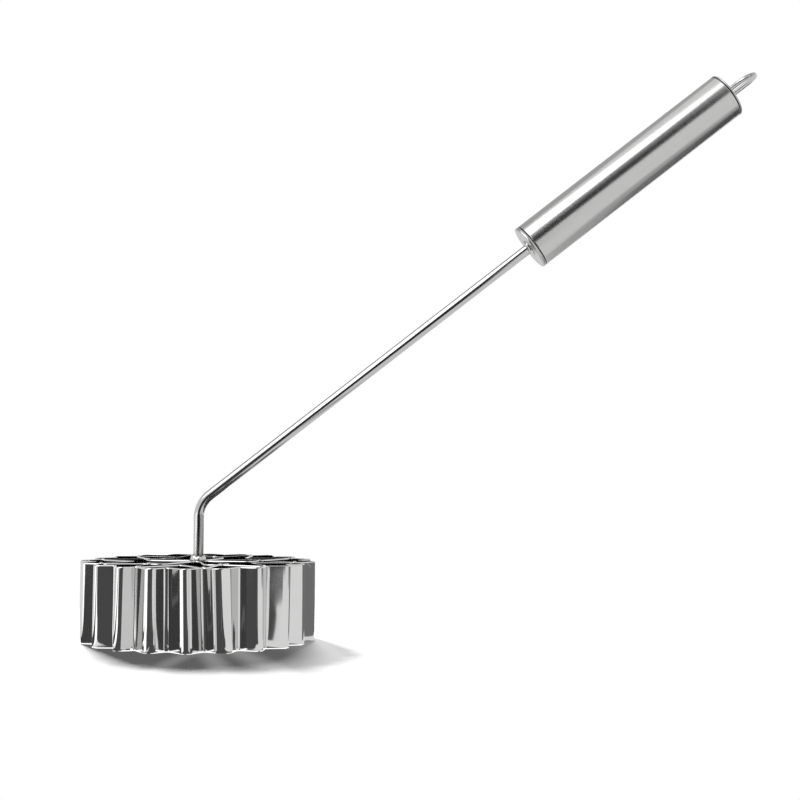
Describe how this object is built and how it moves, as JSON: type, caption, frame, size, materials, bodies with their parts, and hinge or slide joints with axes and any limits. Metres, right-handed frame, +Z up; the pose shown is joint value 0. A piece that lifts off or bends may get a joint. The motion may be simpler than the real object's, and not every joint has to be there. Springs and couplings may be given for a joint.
{
  "type": "potato masher",
  "caption": "Hand masher: a round head of nested corrugated steel bands on a bent rod, with a tubular steel handle and a wire hanging loop.",
  "frame": {"origin": "centre of the head's underside, on the surface that the masher stands on", "axes": "+Z up along the rod in the head, +X towards the handle, +Y completes the right-handed frame"},
  "size_m": [0.2743, 0.0936, 0.2333],
  "materials": {
    "polished_steel": "polished stainless steel strip and rod",
    "satin_steel": "satin stainless steel, finely brushed along the tube",
    "weld_steel": "stainless weld bead, cleaned bright",
    "black_seal": "black sealing ring"
  },
  "bodies": {
    "root": {"outer_band": "polished_steel", "middle_band": "polished_steel", "inner_band": "polished_steel", "outer_tack_welds": "weld_steel", "inner_tack_welds": "weld_steel", "shank_rod": "polished_steel", "shank_foot_weld": "weld_steel", "front_cap": "satin_steel", "front_cap_weld": "weld_steel", "front_seal_ring": "black_seal", "handle_tube": "satin_steel", "rear_seal_ring": "black_seal", "rear_cap": "satin_steel", "hanging_loop": "polished_steel", "loop_welds": "weld_steel"}
  },
  "joints": []
}
